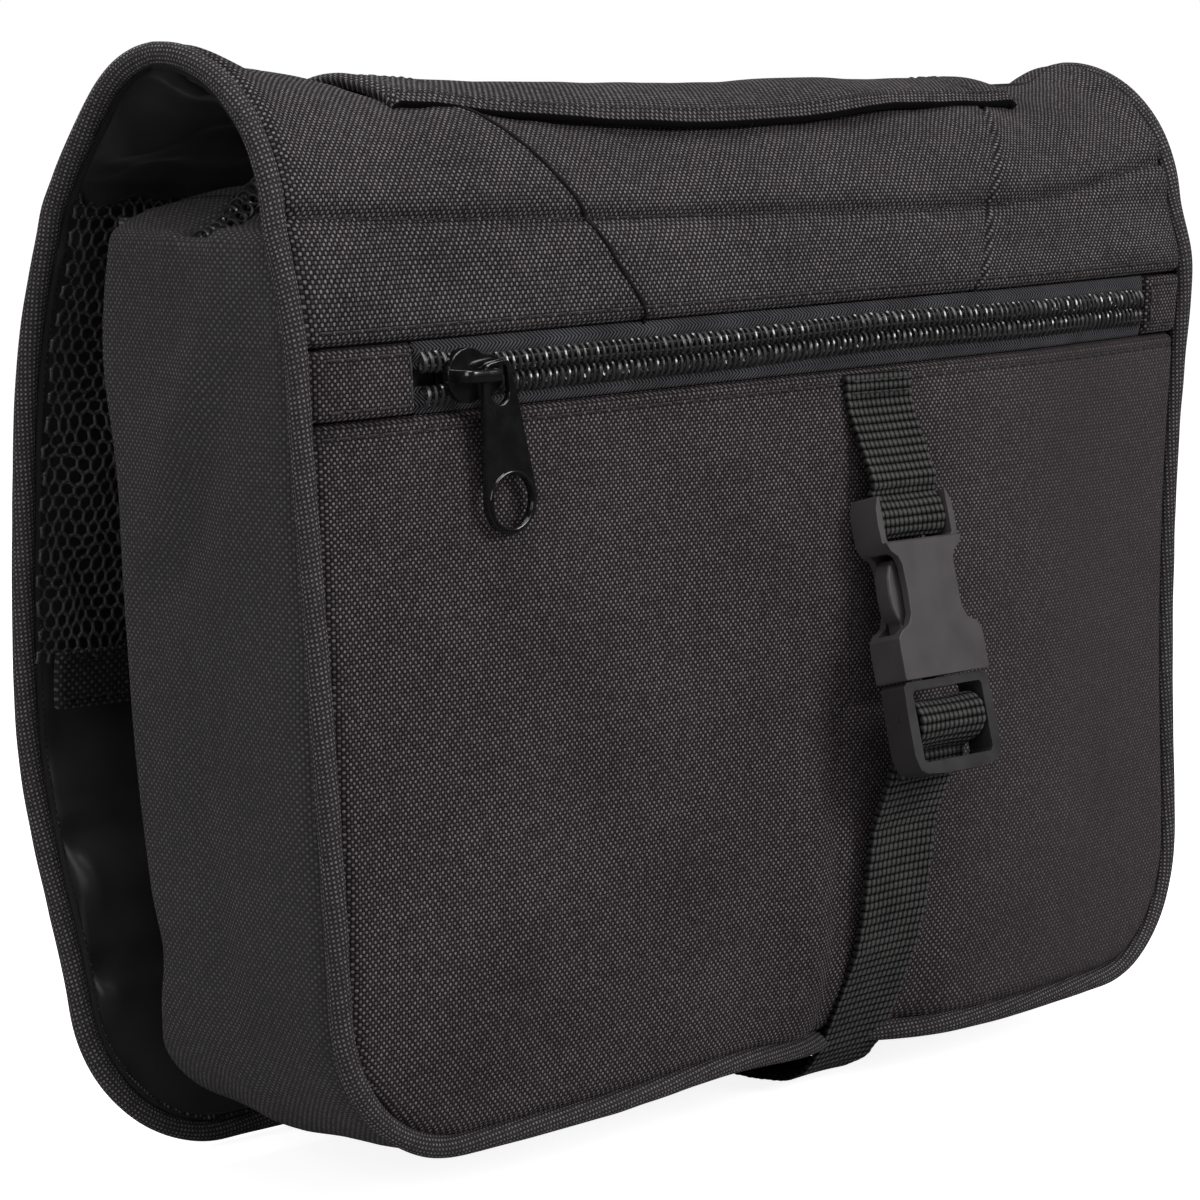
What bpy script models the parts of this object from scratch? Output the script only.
"""Hanging toiletry bag, folded shut: a front half with a gusseted zip pouch, a fold over the top with
a flat carry handle, a back half with a mesh pocket, and a closure strap with a side-release buckle.

+X is the bag's right seen from the front, the front faces -Y, +Z is up. Lengths are in millimetres
and place() turns them into metres. The bag stands on z = 0 and its bounding box is centred on
x = 0 and y = 0."""

import math

import bmesh
import bpy
import numpy as np
from mathutils import Matrix, Vector

# ---------------------------------------------------------------- driving dimensions
MM = 0.001
Y_SHIFT = 8.69  # brings the middle of the bounding box to y = 0
Z_SHIFT = 3.961  # brings the lowest point to z = 0
HALF_W = 137.5  # half the width over the edge piping
TAPER = 8.0  # each side is this much narrower at z = 0
TAPER_TOP = 165.0  # the taper starts here and grows downwards
CORNER = 31.0  # radius of the bottom corners
Z_EDGE = 6.5  # lowest point of the front's edge piping near the corners
Z_BACK = -4.0  # lowest point of the back's edge piping
ARCH_R = 35.0  # outer radius of the fold over the top
ARCH_Y = -2.0  # middle of the fold
ARCH_Z = 181.0  # where the fold starts to curve
SEAM_ANGLE = 16.0  # how far up the fold the front and back halves reach, degrees
SPINE_ANGLE = 20.5  # where the spine panel starts, degrees
SPAN = 180.0 - 2 * SPINE_ANGLE
SPINE_LEDGE = 4.0  # the spine lies this much under its piped ends
SPINE_SAG = 5.0  # and hangs this much lower again in the middle
SPINE_STEP = 12.0  # width of the step down from each piped end
PIPING_R = 2.25
PANEL_T = 3.0  # padded panel
LINING_T = 0.8
EDGE_IN = 4.9  # panel edge to outline, leaving room for the piping
STRAP_X = 21.0  # centre line of the closure strap
STRAP_W = 20.0
STRAP_T = 1.3
PINCH_W = 37.0  # width of the valley that the strap pulls into the front panel
LIFT = 3.2  # how far the strap raises the lower edge
LIFT_W = 42.0  # width of the raised part
LIFT_FADE = 14.0  # height over which the rise fades

# Depth profiles: (height, y of the outer face).
FRONT_Y = [
    (0, -45.0), (20, -45.6), (60, -45.8), (110, -44.5),
    (145, -43.1), (163, -42.3), (172, -40.2), (ARCH_Z, ARCH_Y - ARCH_R),
]
BACK_Y = [
    (Z_BACK, 30.5), (8, 33.5), (20, 35.8), (35, 38.4), (60, 45.0), (78, 48.0),
    (100, 47.4), (125, 45.0), (150, 42.0), (170, 37.0), (ARCH_Z, ARCH_Y + ARCH_R),
]
# Valley under the strap: (height, depth on its centre line).
PINCH_DEPTH = [(0, 22.0), (5, 18.0), (14, 10.0), (22, 5.0), (34, 1.6), (60, 0.2), (75, 0.0)]

# Front zip
ZIP_Z = 156.0
ZIP_SLANT = 0.018  # the zip climbs this much per millimetre towards the right
ZIP_LOW, ZIP_HIGH = 149.3, 162.8  # seams under and over the zip
ZIP_LEFT, ZIP_RIGHT = -108.0, 118.0  # ends of the zip's opening
SEAM_GAP = 0.2  # from a seam to the piece beside it
YOKE_LOW = ZIP_HIGH + 0.7
SLIDER_X = -96.0

# Pouch
POUCH_BACK = 14.0  # back of the pouch
POUCH_TOP = 188.5
POUCH_HALF_W = 131.0
POUCH_ZIP_Y = -15.0
POUCH_FRONT_RUN, POUCH_REAR_RUN = 17.0, 31.0  # depth of the top either side of its zip
POUCH_SLIDER_X = 92.0

for old in list(bpy.data.objects):
    bpy.data.objects.remove(old, do_unlink=True)

PART = bpy.data.collections.new("hanging_toiletry_bag")
CUTTERS = bpy.data.collections.new("cutters")
for collection in (PART, CUTTERS):
    bpy.context.scene.collection.children.link(collection)


# ---------------------------------------------------------------- materials
def material(name, colour, roughness, metallic=0.0):
    mat = bpy.data.materials.new(name)
    mat.use_nodes = True
    shader = mat.node_tree.nodes["Principled BSDF"]
    shader.inputs["Base Color"].default_value = (*colour, 1.0)
    shader.inputs["Roughness"].default_value = roughness
    shader.inputs["Metallic"].default_value = metallic
    return mat


OXFORD = material("oxford_black", colour=(0.036, 0.030, 0.031), roughness=0.82)
GUSSET = material("oxford_gusset", colour=(0.030, 0.028, 0.029), roughness=0.85)
LINING = material("satin_lining", colour=(0.018, 0.018, 0.018), roughness=0.5)
TAPE = material("zip_tape", colour=(0.022, 0.022, 0.028), roughness=0.8)
COIL = material("nylon_coil", colour=(0.012, 0.012, 0.012), roughness=0.25)
METAL = material("black_enamel_metal", colour=(0.012, 0.012, 0.012), roughness=0.2, metallic=0.3)
PIPING = material("piping_cloth", colour=(0.030, 0.027, 0.028), roughness=0.8)
WEBBING = material("webbing", colour=(0.025, 0.026, 0.024), roughness=0.8)
PLASTIC = material("acetal_black", colour=(0.020, 0.019, 0.020), roughness=0.42)
MESH_NET = material("net_black", colour=(0.014, 0.014, 0.014), roughness=0.6)


# ---------------------------------------------------------------- surfaces of the bag
def curve_through(knots, x):
    """Hermite curve through (x, value) knots, flat outside them."""
    stops = [knot[0] for knot in knots]
    values = [knot[1] for knot in knots]
    if x <= stops[0]:
        return values[0]
    if x >= stops[-1]:
        return values[-1]
    i = next(k for k in range(len(stops) - 1) if x <= stops[k + 1])

    def slope(k):
        before, after = max(k - 1, 0), min(k + 1, len(stops) - 1)
        return (values[after] - values[before]) / (stops[after] - stops[before])

    step = stops[i + 1] - stops[i]
    part = (x - stops[i]) / step
    square, cube = part**2, part**3
    return (
        (2 * cube - 3 * square + 1) * values[i]
        + (cube - 2 * square + part) * step * slope(i)
        + (-2 * cube + 3 * square) * values[i + 1]
        + (cube - square) * step * slope(i + 1)
    )


def smooth_step(value):
    """Eases from 0 to 1 as value goes from 0 to 1."""
    value = min(max(value, 0.0), 1.0)
    return value * value * (3 - 2 * value)


def half_width(z):
    return HALF_W - TAPER * max(0.0, (TAPER_TOP - z) / TAPER_TOP) ** 1.3


def outline_x(z, inset, edge=Z_EDGE):
    """Half width of the rounded outline, moved in by inset, at height z."""
    below = CORNER - (z - edge)
    if below <= 0:
        return half_width(z) - inset
    return half_width(z) - CORNER + math.sqrt(max((CORNER - inset) ** 2 - below**2, 0.0))


def outline_path(inset, edge, side_steps, corner_steps, bottom_steps):
    """(x, z) points down the left side, along the bottom and up the right side."""
    left = []
    for i in range(side_steps + 1):
        z = ARCH_Z - (ARCH_Z - edge - CORNER) * i / side_steps
        left.append((-outline_x(z, inset, edge), z))
    for i in range(1, corner_steps + 1):
        angle = math.radians(90.0 * i / corner_steps)
        z = edge + CORNER - (CORNER - inset) * math.sin(angle)
        left.append((-(half_width(z) - CORNER + (CORNER - inset) * math.cos(angle)), z))
    half = -left[-1][0]
    bottom = [(-half + 2 * half * i / bottom_steps, edge + inset) for i in range(1, bottom_steps)]
    return left + bottom + [(-x, z) for x, z in reversed(left)]


def bell(x, width):
    """1 on the strap's centre line, fading out to both sides."""
    return math.exp(-(((x - STRAP_X) / width) ** 2))


def pinch(x, z):
    """How far the strap pulls the front's lower edge back."""
    return curve_through(PINCH_DEPTH, z) * bell(x, PINCH_W)


def lift(x, z):
    """How far the strap lifts the lower edge."""
    return LIFT * bell(x, LIFT_W) * math.exp(-max(z - Z_EDGE, 0.0) / LIFT_FADE)


def slant(x, z):
    """The zip and its seams run slightly uphill to the right, fading out below and above."""
    return ZIP_SLANT * x * smooth_step((z - 115.0) / 31.0) * smooth_step((180.0 - z) / 16.0)


def front_point(x, z, depth=0.0):
    """A point depth behind the front's outer face."""
    y = curve_through(FRONT_Y, z) + pinch(x, z) + depth
    return (x, y, z + lift(x, z) + slant(x, z))


def back_point(x, z, depth=0.0):
    """A point depth in front of the back's outer face."""
    return (x, curve_through(BACK_Y, z) - depth, z)


SPINE_HALF = HALF_W - EDGE_IN - 0.1  # where the spine meets the level of its piping


def arch_radius(x, angle):
    ledge = SPINE_LEDGE * smooth_step((SPINE_HALF - abs(x)) / SPINE_STEP)
    sag = SPINE_SAG * (1 - min(abs(x) / SPINE_HALF, 1.0) ** 2)
    return ARCH_R - (ledge + sag) * math.sin(math.radians(angle)) ** 1.5


def arch_point(x, angle, depth=0.0):
    """A point on the fold: angle 0 is its front foot, 180 its back foot."""
    radius = arch_radius(x, angle) - depth
    turn = math.radians(angle)
    return (x, ARCH_Y - radius * math.cos(turn), ARCH_Z + radius * math.sin(turn))


def over_spine(x, forward, height):
    """A point height over the spine, forward millimetres in front of its crest."""
    angle = forward / arch_radius(x, 90.0)
    radius = arch_radius(x, 90.0 - math.degrees(angle)) + height
    return (x, ARCH_Y - radius * math.sin(angle), ARCH_Z + radius * math.cos(angle))


# ---------------------------------------------------------------- building helpers
def place(point):
    return (point[0] * MM, (point[1] + Y_SHIFT) * MM, (point[2] + Z_SHIFT) * MM)


def link(name, mesh, mat, where=PART):
    obj = bpy.data.objects.new(name, mesh)
    where.objects.link(obj)
    if mat is not None:
        mesh.materials.append(mat)
    return obj


def mesh_from(name, bm):
    mesh = bpy.data.meshes.new(name)
    bm.to_mesh(mesh)
    bm.free()
    return mesh


def sheet(name, faces, point, thickness, mat):
    """A grid of faces laid on point(u, v), u and v from 0 to 1, thickened on the side away from
    its normal (u cross v)."""
    bm = bmesh.new()
    bmesh.ops.create_grid(bm, x_segments=faces[0], y_segments=faces[1], size=0.5)
    for vert in bm.verts:
        vert.co = place(point(vert.co.x + 0.5, vert.co.y + 0.5))
    solid = link(name, mesh_from(name, bm), mat).modifiers.new("thickness", "SOLIDIFY")
    solid.thickness = thickness * MM
    solid.offset = -1.0
    solid.use_even_offset = False


def tube(name, points, radius, mat):
    """A round cord along the points, with closed ends."""
    data = bpy.data.curves.new(name, "CURVE")
    data.dimensions = "3D"
    data.bevel_depth = radius * MM
    data.bevel_resolution = 2
    data.use_fill_caps = True
    add_spline(data, [place(point) for point in points])
    link(name, data, mat)


def add_spline(data, points):
    spline = data.splines.new("POLY")
    spline.points.add(len(points) - 1)
    for target, point in zip(spline.points, points):
        target.co = (*point, 1.0)
    return spline


def band(name, path, thickness):
    """Strap webbing along (y, z) points in the middle of its thickness; its width runs along x."""
    last = len(path) - 1
    normals = []
    for i in range(last + 1):
        before, after = path[max(i - 1, 0)], path[min(i + 1, last)]
        run = np.array([after[0] - before[0], after[1] - before[1]], float)
        run /= np.linalg.norm(run)
        normals.append((-run[1], run[0]))

    def point(u, v):
        i = int(round(v * last))
        y, z = (path[i][k] + normals[i][k] * thickness / 2 for k in range(2))
        return (STRAP_X + (u - 0.5) * STRAP_W, y, z)

    sheet(name, (2, last), point, thickness, WEBBING)


def flat(name, outline, holes, half_t, mat, matrix):
    """A flat outline with holes, extruded to both sides and turned into a mesh, placed by matrix."""
    data = bpy.data.curves.new(name, "CURVE")
    data.dimensions = "2D"
    data.fill_mode = "BOTH"
    data.extrude = half_t
    for ring in [outline] + holes:
        add_spline(data, [(x, y, 0.0) for x, y in ring]).use_cyclic_u = True
    guide = bpy.data.objects.new(name + "_outline", data)
    bpy.context.scene.collection.objects.link(guide)
    graph = bpy.context.evaluated_depsgraph_get()
    graph.update()
    filled = bpy.data.meshes.new_from_object(guide.evaluated_get(graph))
    bpy.data.objects.remove(guide, do_unlink=True)
    bm = bmesh.new()
    bm.from_mesh(filled)
    bpy.data.meshes.remove(filled)
    bmesh.ops.remove_doubles(bm, verts=bm.verts, dist=0.0005)
    for vert in bm.verts:
        vert.co = place(matrix @ vert.co)
    bmesh.ops.recalc_face_normals(bm, faces=bm.faces)
    for face in bm.faces:
        face.material_index = 0
    return link(name, mesh_from(name, bm), mat)


def block(name, low, high, mat, matrix=Matrix.Identity(4), where=PART):
    """A box from one corner to the other, placed by matrix."""
    bm = bmesh.new()
    bmesh.ops.create_cube(bm, size=1.0)
    for vert in bm.verts:
        corner = [low[i] + (vert.co[i] + 0.5) * (high[i] - low[i]) for i in range(3)]
        vert.co = place(matrix @ Vector(corner))
    bmesh.ops.recalc_face_normals(bm, faces=bm.faces)
    return link(name, mesh_from(name, bm), mat, where)


def boolean_block(body, operation, name, low, high, matrix=Matrix.Identity(4)):
    """Unites body with a hidden box, or cuts the box from it."""
    helper = block(name, low, high, None, matrix, CUTTERS)
    helper.hide_render = True
    helper.display_type = "WIRE"
    modifier = body.modifiers.new(operation.lower() + "_" + name, "BOOLEAN")
    modifier.operation = operation
    modifier.object = helper
    modifier.solver = "EXACT"


def unite_blocks(body, prefix, origin, blocks):
    """Unites body with boxes given as (tag, low corner, high corner) from origin."""
    for tag, *corners in blocks:
        low, high = ([origin[i] + corner[i] for i in range(3)] for corner in corners)
        boolean_block(body, "UNION", prefix + tag, low, high)


def arc(x, y, radius, start, end, steps):
    """Points round (x, y) from the start to the end angle, in degrees."""
    angles = [math.radians(start + (end - start) * i / steps) for i in range(steps + 1)]
    return [(x + radius * math.cos(angle), y + radius * math.sin(angle)) for angle in angles]


def circle(x, y, radius, count):
    return arc(x, y, radius, 0, 360 * (count - 1) / count, count - 1)


def mirror(half):
    """Closes a right half outline with its mirror image."""
    return half + [(-x, y) for x, y in reversed(half)]


# ---------------------------------------------------------------- edge piping
W_TOP = half_width(ARCH_Z) - PIPING_R


def edge_arc(x, back):
    """The piping's short run round the fold, up to the seam."""
    angles = [SEAM_ANGLE * i / 3 for i in range(1, 4)]
    return [arch_point(x, 180 - angle if back else angle, PIPING_R) for angle in angles]


def edge_piping(name, point, edge, back):
    path = outline_path(PIPING_R, edge, side_steps=8, corner_steps=6, bottom_steps=16)
    around = [point(x, z, PIPING_R) for x, z in path]
    points = edge_arc(-W_TOP, back)[::-1] + around + edge_arc(W_TOP, back)
    tube(name, points, PIPING_R, PIPING)


edge_piping("front_piping", front_point, Z_EDGE, back=False)
edge_piping("back_piping", back_point, Z_BACK, back=True)


# ---------------------------------------------------------------- front half
def front_sheet(name, low, high, faces, mat, inset=EDGE_IN, depth=0.0, thickness=PANEL_T,
                ease=1.0, left=-math.inf, right=math.inf):
    """A layer of the front half between two heights, depth behind the outer face. Ease above 1
    crowds its rows towards the bottom."""

    def point(u, v):
        z = low + (high - low) * v**ease
        half = outline_x(z, inset)
        start, end = max(left, -half), min(right, half)
        return front_point(start + (end - start) * u, z, depth)

    sheet(name, faces, point, thickness, mat)


front_sheet("front_panel", Z_EDGE + EDGE_IN, ZIP_LOW - SEAM_GAP, (26, 16), OXFORD, ease=1.7)
front_sheet("front_pocket_bag", 42.0, 146.0, (14, 8), LINING,
            inset=14.0, depth=3.5, thickness=LINING_T)
front_sheet("front_lining", Z_EDGE + 9.0, ARCH_Z, (20, 14), LINING,
            inset=8.0, depth=5.0, thickness=LINING_T, ease=1.5)

# Pieces between the two zip seams
ZIP_BOTTOM, ZIP_TOP = ZIP_LOW + SEAM_GAP, ZIP_HIGH - SEAM_GAP
PATCH_GAP = 0.3  # from the zip's opening to the patch at its end
TAPE_HALF_GAP = 2.0  # from the zip's centre line to the edge of a tape
front_sheet("zip_end_patch_left", ZIP_BOTTOM, ZIP_TOP, (2, 2), OXFORD, right=ZIP_LEFT - PATCH_GAP)
front_sheet("zip_end_patch_right", ZIP_BOTTOM, ZIP_TOP, (2, 2), OXFORD, left=ZIP_RIGHT + PATCH_GAP)
for name, low, high in (
    ("front_zip_tape_lower", ZIP_BOTTOM, ZIP_Z - TAPE_HALF_GAP),
    ("front_zip_tape_upper", ZIP_Z + TAPE_HALF_GAP, ZIP_TOP),
):
    front_sheet(name, low, high, (2, 1), TAPE,
                depth=2.2, thickness=0.7, left=ZIP_LEFT, right=ZIP_RIGHT)


def yoke_point(u, v):
    """Straight part up to the fold's foot, then round the fold to the seam."""
    straight = ARCH_Z - YOKE_LOW
    run = v * (straight + ARCH_R * math.radians(SEAM_ANGLE))
    half = half_width(ARCH_Z) - EDGE_IN
    x = -half + 2 * half * u
    if run <= straight:
        return front_point(x, YOKE_LOW + run)
    return arch_point(x, math.degrees((run - straight) / ARCH_R))


sheet("front_yoke", (16, 6), yoke_point, PANEL_T, OXFORD)

# ---------------------------------------------------------------- front zip
# Two coil rows with a gap that the slider's post runs in.
COIL_Y = front_point(0, ZIP_Z)[1]
COIL_IN, COIL_OUT = 0.7, 3.9  # near and far side of a row, from the zip's centre line
UPHILL = Matrix(((1, 0, 0, 0), (0, 1, 0, 0), (ZIP_SLANT, 0, 1, 0), (0, 0, 0, 1)))
for name, low, high in (
    ("front_zip_coil_upper", ZIP_Z + COIL_IN, ZIP_Z + COIL_OUT),
    ("front_zip_coil_lower", ZIP_Z - COIL_OUT, ZIP_Z - COIL_IN),
):
    block(name, (ZIP_LEFT, COIL_Y - 0.2, low), (ZIP_RIGHT, COIL_Y + 1.6, high), COIL, UPHILL)


def facing_front(x, y, z):
    """Lays a flat shape upright in the plane of the front, its y pointing up."""
    return Matrix(((1, 0, 0, x), (0, 0, -1, y), (0, 1, 0, z), (0, 0, 0, 1)))


# Slider: top plate with a round nose, post, rear plate and bail.
SLIDER_OUTLINE = arc(-0.5, 0.0, 5.0, 60, 300, 10) + [(5.6, -3.6), (5.6, 3.6)]
SLIDER_Z = ZIP_Z + ZIP_SLANT * SLIDER_X
PLATE_HALF_T = 0.75
BAIL_Y = COIL_Y - 2.0  # front face of the top plate
LEG_IN, LEG_OUT = 3.4, 4.7  # a bail leg's sides, from the slider's middle
# (tag, low corner, high corner) from the slider's middle on the coil's face
FRONT_SLIDER_BLOCKS = [
    ("post", (-4.0, -0.9, -0.3), (0.5, 4.0, 0.3)),
    ("rear_plate", (-4.6, 3.3, -3.4), (4.6, 4.3, 3.4)),
    ("bail_leg_left", (-LEG_OUT, -6.4, -0.75), (-LEG_IN, -1.6, 0.75)),
    ("bail_leg_right", (LEG_IN, -6.4, -0.75), (LEG_OUT, -1.6, 0.75)),
    ("bail_bar", (-LEG_OUT, -6.7, -0.85), (LEG_OUT, -5.4, 0.85)),
]
front_slider = flat("front_zip_slider", SLIDER_OUTLINE, [], PLATE_HALF_T, METAL,
                    facing_front(SLIDER_X, BAIL_Y + PLATE_HALF_T, SLIDER_Z))
unite_blocks(front_slider, "slider_", (SLIDER_X, COIL_Y, SLIDER_Z), FRONT_SLIDER_BLOCKS)

# Pull: flat tapered tab hooked on the bail's right leg. Outlines are (x, y), y up.
PULL_TILT = math.radians(8.0)
PULL_OUTLINE = (
    [(-3.4, 1.2), (-2.4, 2.5), (2.4, 2.5), (3.4, 1.2), (4.4, -5.0), (6.5, -23.3)]
    + arc(0, -23.8, 6.55, 0, -180, 12)[1:-1]
    + [(-6.5, -23.3), (-4.4, -5.0)]
)
PULL_SLOT = [(-2.3, 1.4), (-2.3, -3.6), (-1.4, -4.5), (1.4, -4.5), (2.3, -3.6), (2.3, 1.4)]
flat(
    "front_zip_pull", PULL_OUTLINE, [PULL_SLOT, circle(0, -24.0, 5.0, 20)], 0.65, METAL,
    facing_front(SLIDER_X + (LEG_IN + LEG_OUT) / 2, BAIL_Y - 1.85, SLIDER_Z)
    @ Matrix.Rotation(PULL_TILT, 4, "Z"),
)

# ---------------------------------------------------------------- pouch
GUSSET_PATH = outline_path(1.3, Z_EDGE, side_steps=6, corner_steps=5, bottom_steps=12)
GUSSET_DEPTH = 5.1  # the gusset starts this far behind the front's face
WALL_INSET = 4.2


def gusset_point(u, v):
    """v runs round the outline from the left top to the right top, u from front to back."""
    x, z = GUSSET_PATH[int(round(v * (len(GUSSET_PATH) - 1)))]
    front = front_point(x, z, GUSSET_DEPTH)[1]
    return (x, front + (POUCH_BACK - front) * u, z + lift(x, z) * (1 - 0.25 * u))


def pouch_wall_point(u, v):
    low = Z_EDGE + WALL_INSET
    z = low + (180.5 - low) * v**1.5
    half = outline_x(z, WALL_INSET)
    x = half - 2 * half * u
    return (x, POUCH_BACK - 0.6, z + lift(x, z) * 0.9)


sheet("pouch_gusset", (6, len(GUSSET_PATH) - 1), gusset_point, 1.8, GUSSET)
sheet("pouch_back_wall", (16, 10), pouch_wall_point, 1.6, GUSSET)


def pouch_top_z(x, y):
    """The top falls away from its zip to front and back, and a little at both ends."""
    run = POUCH_FRONT_RUN if y < POUCH_ZIP_Y else POUCH_REAR_RUN
    end_drop = 1.6 * min(abs(x) / POUCH_HALF_W, 1.0) ** 6
    return POUCH_TOP - 4.4 * ((y - POUCH_ZIP_Y) / run) ** 2 - end_drop


def pouch_top_sheet(name, front, rear, drop, thickness, rows, mat):
    def point(u, v):
        x = -POUCH_HALF_W + 2 * POUCH_HALF_W * u
        y = front + (rear - front) * v
        return (x, y, pouch_top_z(x, y) - drop)

    sheet(name, (14, rows), point, thickness, mat)


def pouch_coil(name, front, rear):
    def point(u, v):
        x = -126.0 + 252.0 * u
        return (x, front + (rear - front) * v, pouch_top_z(x, POUCH_ZIP_Y) + 0.9)

    sheet(name, (14, 1), point, 1.7, COIL)


PANEL_GAP = 4.6  # from the zip's centre line to a top panel
pouch_top_sheet("pouch_top_front", -31.5, POUCH_ZIP_Y - PANEL_GAP, 0.0, 1.2, 4, GUSSET)
pouch_top_sheet("pouch_top_rear", POUCH_ZIP_Y + PANEL_GAP, POUCH_BACK - 0.5, 0.0, 1.2, 6, GUSSET)
for side, end in ((-1, "front"), (1, "rear")):
    tape_edges = sorted(POUCH_ZIP_Y + side * offset for offset in (1.2, 4.3))
    pouch_top_sheet("pouch_zip_tape_" + end, *tape_edges, 1.3, 0.6, 2, TAPE)
    pouch_coil("pouch_zip_coil_" + end, *sorted(POUCH_ZIP_Y + side * offset for offset in (0.6, 3.8)))

POUCH_SLIDER_Z = POUCH_TOP + 1.3  # underside of the slider's top plate
POUCH_PLATE_HALF_T = 0.7
# (tag, low corner, high corner) from the slider's middle on the underside of its top plate
POUCH_SLIDER_BLOCKS = [
    ("post", (-0.5, -0.3, -4.6), (4.0, 0.3, 0.4)),
    ("rear_plate", (-4.4, -3.2, -5.4), (4.4, 3.2, -4.5)),
    ("bail_left", (-3.9, -0.7, 1.0), (-2.7, 0.7, 4.4)),
    ("bail_right", (2.7, -0.7, 1.0), (3.9, 0.7, 4.4)),
    ("bail_bar", (-3.9, -0.8, 3.6), (3.9, 0.8, 4.6)),
]
POUCH_SLIDER_AT = (POUCH_SLIDER_X, POUCH_ZIP_Y, POUCH_SLIDER_Z)
# Half a turn about y points the slider's nose to the right.
pouch_slider = flat(
    "pouch_zip_slider", SLIDER_OUTLINE, [], POUCH_PLATE_HALF_T, METAL,
    Matrix.Translation((POUCH_SLIDER_X, POUCH_ZIP_Y, POUCH_SLIDER_Z + POUCH_PLATE_HALF_T))
    @ Matrix.Diagonal((-1, 1, -1, 1)),
)
unite_blocks(pouch_slider, "pouch_slider_", POUCH_SLIDER_AT, POUCH_SLIDER_BLOCKS)

# The pouch pull lies along the zip, its crossbar under the bail.
POUCH_PULL_OUTLINE = (
    [(2.0, -3.4), (2.0, 3.4), (-3.0, 4.2), (-18.0, 5.2)]
    + arc(-19.0, 0, 5.2, 90, 270, 8)[1:-1]
    + [(-18.0, -5.2), (-3.0, -4.2)]
)
POUCH_PULL_SLOT = [(0.9, -2.2), (0.9, 2.2), (-5.2, 2.2), (-5.2, -2.2)]
flat(
    "pouch_zip_pull", POUCH_PULL_OUTLINE, [POUCH_PULL_SLOT, circle(-19.0, 0, 3.4, 16)], 0.55, METAL,
    Matrix.Translation((POUCH_SLIDER_X, POUCH_ZIP_Y, POUCH_SLIDER_Z + 2.5)),
)

# ---------------------------------------------------------------- fold over the top
SPINE_W = HALF_W - EDGE_IN


def spine_sheet(name, margin, depth, thickness, mat):
    """A layer of the spine, margin degrees inside its front and back edges. Columns get closer
    towards the ends, where the spine steps up to its piping."""

    def point(u, v):
        x = SPINE_W * math.sin(math.pi * (u - 0.5))
        return arch_point(x, SPINE_ANGLE + margin + (SPAN - 2 * margin) * v, depth)

    sheet(name, (22, 14), point, thickness, mat)


spine_sheet("spine_panel", 0.0, 0.0, PANEL_T, OXFORD)
spine_sheet("spine_lining", 3.5, PANEL_T + 0.9, LINING_T, LINING)
for side, name in ((-1, "spine_piping_left"), (1, "spine_piping_right")):
    path = [arch_point(side * W_TOP, SPINE_ANGLE + SPAN * i / 16, PIPING_R) for i in range(17)]
    tube(name, path, PIPING_R, PIPING)

HANDLE_HALF = 78.0
HANDLE_W = 27.0
HANDLE_CLEAR = 0.6
HANDLE_T = 2.0
HANDLE_RISE = 1.6  # extra height in the middle
TAB_T = 2.2
TAB_CLEAR = 0.9
TAB_IN, TAB_OUT = HANDLE_HALF + 0.5, HANDLE_HALF + 13.0


def handle_point(u, v):
    x = -HANDLE_HALF + 2 * HANDLE_HALF * u
    rise = HANDLE_RISE * max(0.0, 1 - (abs(x) / HANDLE_HALF) ** 2) ** 0.8
    return over_spine(x, HANDLE_W * (0.5 - v), HANDLE_CLEAR + HANDLE_T + rise)


def handle_tab(name, left, right):
    def point(u, v):
        return over_spine(left + (right - left) * u, HANDLE_W * (0.5 - v), TAB_CLEAR + TAB_T)

    sheet(name, (2, 4), point, TAB_T, OXFORD)


sheet("handle_strap", (18, 4), handle_point, HANDLE_T, OXFORD)
handle_tab("handle_tab_left", -TAB_OUT, -TAB_IN)
handle_tab("handle_tab_right", TAB_IN, TAB_OUT)


# ---------------------------------------------------------------- back half
def back_sheet(name, low, high, inset, depth, thickness, faces, mat, ease=1.0):
    """A layer of the back half between two heights, depth in front of the outer face."""

    def point(u, v):
        z = low + (high - low) * v**ease
        half = outline_x(z, inset, Z_BACK)
        return back_point(half - 2 * half * u, z, depth)

    sheet(name, faces, point, thickness, mat)


def back_panel_point(u, v):
    """Up the back to the fold's foot, then round the fold to the seam."""
    low = Z_BACK + EDGE_IN
    straight = ARCH_Z - low
    run = (straight + ARCH_R * math.radians(SEAM_ANGLE)) * v**1.3
    if run <= straight:
        half = outline_x(low + run, EDGE_IN, Z_BACK)
        return back_point(half - 2 * half * u, low + run)
    half = half_width(ARCH_Z) - EDGE_IN
    return arch_point(half - 2 * half * u, 180 - math.degrees((run - straight) / ARCH_R))


sheet("back_panel", (16, 18), back_panel_point, PANEL_T, OXFORD)
back_sheet("back_lining", Z_BACK + 6.0, 179.0, inset=6.0, depth=PANEL_T + 0.4,
           thickness=LINING_T, faces=(14, 12), mat=LINING, ease=1.3)
back_sheet("mesh_pocket", 97.8, 176.0, inset=7.5, depth=PANEL_T + 4.6,
           thickness=0.8, faces=(14, 6), mat=MESH_NET)
back_sheet("mesh_pocket_band", 86.6, 97.4, inset=7.5, depth=PANEL_T + 4.2,
           thickness=1.4, faces=(14, 2), mat=WEBBING)

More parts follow.
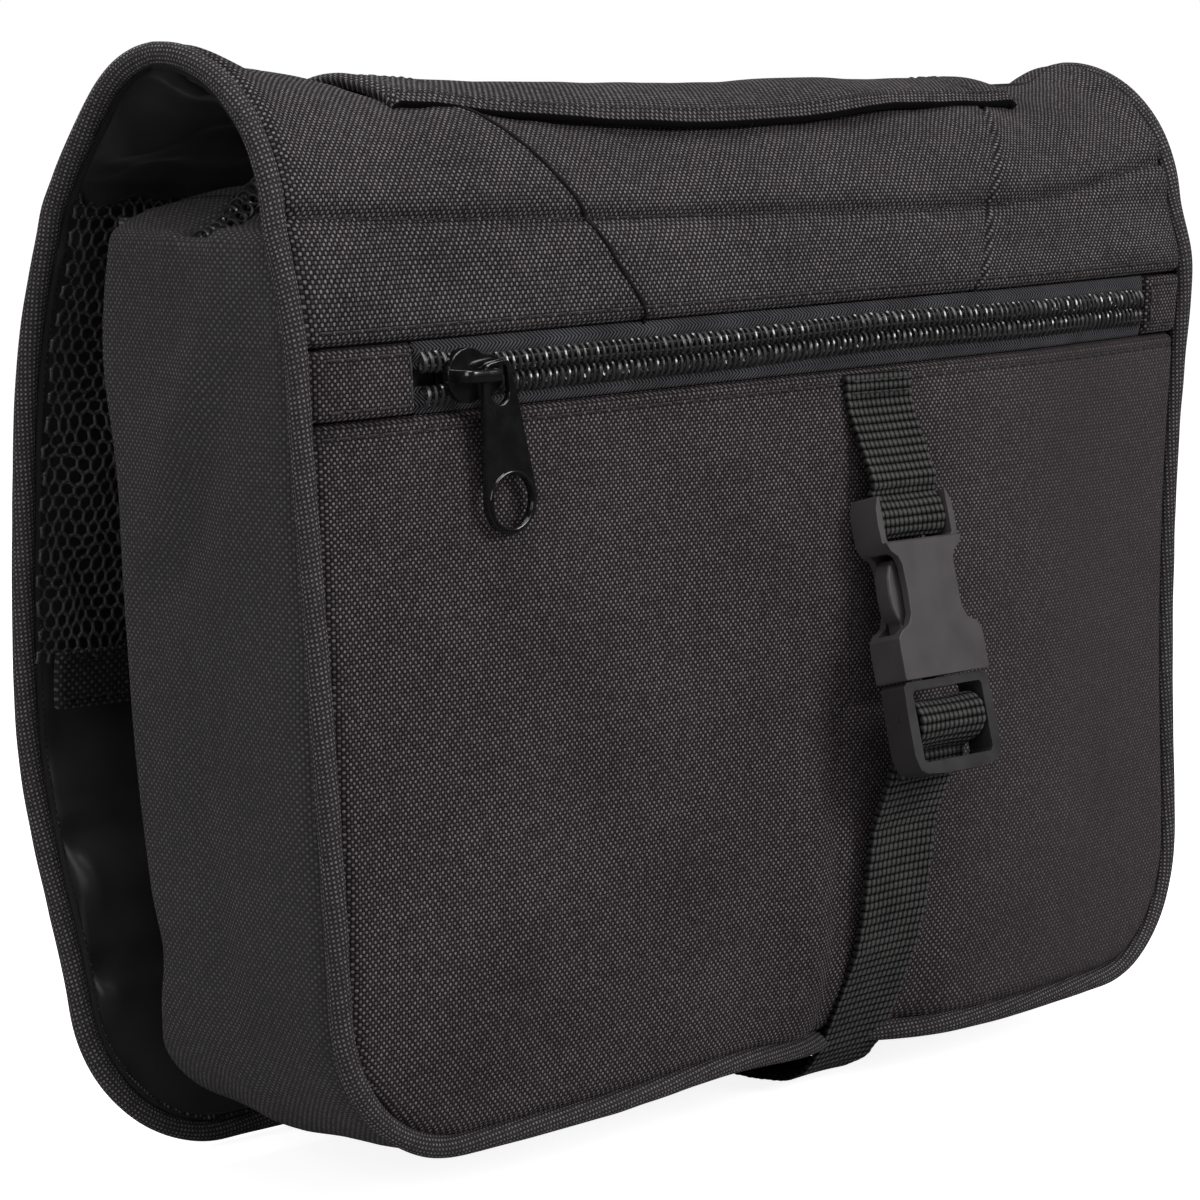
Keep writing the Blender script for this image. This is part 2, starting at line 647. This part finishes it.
# Short webbing piece behind the back panel's lower edge, in line with the strap
ANCHOR_LOW, ANCHOR_HIGH = 2.5, 12.5
ANCHOR_T = 1.2
ANCHOR_OFF = 1.2  # from the back's face to the middle of the webbing
anchor_ends = [(back_point(0, z)[1] + ANCHOR_OFF, z) for z in (ANCHOR_HIGH, ANCHOR_LOW)]
anchor_middle = tuple(sum(pair) / 2 for pair in zip(*anchor_ends))
band("strap_anchor", [anchor_ends[0], anchor_middle, anchor_ends[1]], ANCHOR_T)

# Hang hook, folded up inside, on a webbing tab at the back half's free edge.
HOOK_Y = back_point(0, 5.0)[1] - 8.6
HOOK_R = 13.0
TAB_Y = back_point(0, 10.0)[1] - 5.2  # back face of the tab
# Wire centre line as (x, z): the bar through the tab, the shank, then the hook
HOOK_LINE = [
    (-8.5, 5.0), (8.0, 5.0), (10.0, 7.0), (8.5, 10.5), (2.0, 16.0), (0.0, 20.0), (0.0, 44.0),
] + arc(-HOOK_R, 44.0, HOOK_R, 18, 198, 10)
hook_tab = block("hook_tab", (-7.0, TAB_Y - 1.2, 9.5), (7.0, TAB_Y, 24.0), WEBBING)
rounding = hook_tab.modifiers.new("rounded_edges", "BEVEL")
rounding.width = 0.3 * MM
rounding.segments = 2
tube("hang_hook", [(x, HOOK_Y, z) for x, z in HOOK_LINE], 1.5, METAL)

# ---------------------------------------------------------------- buckle
BUCKLE_TOP_Z = 123.5
BUCKLE_TILT = math.radians(14.0)
FEMALE_HALF_T = 4.2
ARM_HALF_T = 1.95
SLOT_HALF_W = 10.4
TILT_SIN, TILT_COS = math.sin(BUCKLE_TILT), math.cos(BUCKLE_TILT)
BUCKLE_Y = front_point(STRAP_X, BUCKLE_TOP_Z)[1] - 0.5 - FEMALE_HALF_T * TILT_COS
# Buckle frame: x across, y down along the buckle, z out of the front.
BUCKLE = Matrix(
    (
        (1, 0, 0, STRAP_X),
        (0, -TILT_SIN, -TILT_COS, BUCKLE_Y),
        (0, -TILT_COS, TILT_SIN, BUCKLE_TOP_Z),
        (0, 0, 0, 1),
    )
)
# Right halves of the outlines, and the whole right arm, as (x, y) in the buckle frame
FEMALE_HALF = [
    (10.6, 0), (11.8, 1.2), (11.8, 9.0), (10.4, 11.4), (8.0, 13.4), (7.8, 15.0),
    (7.8, 24.5), (9.2, 27.2), (12.2, 28.6), (13.25, 30.0), (13.25, 37.0), (12.4, 38.0),
]
FRAME_HALF = [(12.2, 38.5), (13.25, 39.5), (13.25, 56.0), (12.0, 57.2)]
ARM = [
    (9.6, 37.6), (6.6, 37.6), (6.4, 30.0), (5.4, 16.0), (6.4, 13.6), (8.0, 13.2),
    (10.6, 16.0), (11.0, 21.5), (10.6, 24.0), (9.0, 26.0), (9.4, 33.0),
]
# Cuts in the female half: (name, low corner, high corner)
FEMALE_CUTS = [
    ("buckle_cavity", (-12.0, 12.2, -2.4), (12.0, 38.5, 2.4)),
    ("buckle_strap_slot", (-SLOT_HALF_W, 2.2, -5.0), (SLOT_HALF_W, 6.4, 5.0)),
    ("buckle_top_relief", (-SLOT_HALF_W, -0.5, -5.0), (SLOT_HALF_W, 2.5, -0.6)),
    ("buckle_top_face", (-14.0, -0.5, 2.9), (14.0, 10.5, 5.0)),
]
MALE_SLOTS = [
    [(-SLOT_HALF_W, top), (-SLOT_HALF_W, end), (SLOT_HALF_W, end), (SLOT_HALF_W, top)]
    for top, end in ((41.6, 46.0), (49.4, 54.2))
]

female = flat("buckle_female", mirror(FEMALE_HALF), [], FEMALE_HALF_T, PLASTIC, BUCKLE)
for cut in FEMALE_CUTS:
    boolean_block(female, "DIFFERENCE", *cut, BUCKLE)
male = flat("buckle_male_frame", mirror(FRAME_HALF), MALE_SLOTS, 3.2, PLASTIC, BUCKLE)
boolean_block(male, "UNION", "male_tongue", (-1.5, 16.0, -1.9), (1.5, 39.5, 1.9), BUCKLE)
flat("male_arm_right", ARM, [], ARM_HALF_T, PLASTIC, BUCKLE)
flat("male_arm_left", [(-x, y) for x, y in reversed(ARM)], [], ARM_HALF_T, PLASTIC, BUCKLE)


# ---------------------------------------------------------------- closure strap
def from_buckle(down, out):
    """(y, z) of a point given down along the buckle and out of the front."""
    return tuple((BUCKLE @ Vector((0, down, out))).yz)


# Heights where the upper strap lies on the front, then (down, out) into the female half
UPPER_Z = (148.8, 143.0, 137.0, 131.0, 128.2)
UPPER_END = [(-1.2, -2.6), (1.8, -1.9), (4.4, -0.3)]
# Closure strap: (down, out) round the male frame's bars, then (y, z) down the front and under
STRAP_WRAP = [
    (42.6, -4.2), (43.8, -1.0), (44.2, 2.0), (45.2, 4.0), (47.7, 4.6),
    (50.2, 4.0), (51.4, 1.4), (51.8, -2.0), (53.0, -5.6), (57.0, -7.6),
]
STRAP_RUN = [
    (-50.0, 56.0), (-48.6, 46.0), (-47.4, 37.0), (-45.6, 28.0), (-42.6, 19.0),
    (-38.2, 10.5), (-31.6, 3.4), (-22.8, -0.9), (-12.0, -2.7), (0.0, -3.2),
    (10.0, -3.2), (19.0, -2.6), (25.0, -0.6),
]
on_front = [(front_point(STRAP_X, z)[1] - 0.35 - STRAP_T / 2, z) for z in UPPER_Z]
band("upper_strap", on_front + [from_buckle(*spot) for spot in UPPER_END], STRAP_T)
band("closure_strap", [from_buckle(*spot) for spot in STRAP_WRAP] + STRAP_RUN, STRAP_T)

# Smooth shading with sharp creases on every mesh piece
for obj in PART.objects:
    if obj.type == "MESH":
        obj.data.shade_smooth()
        obj.data.set_sharp_from_angle(angle=math.radians(40))
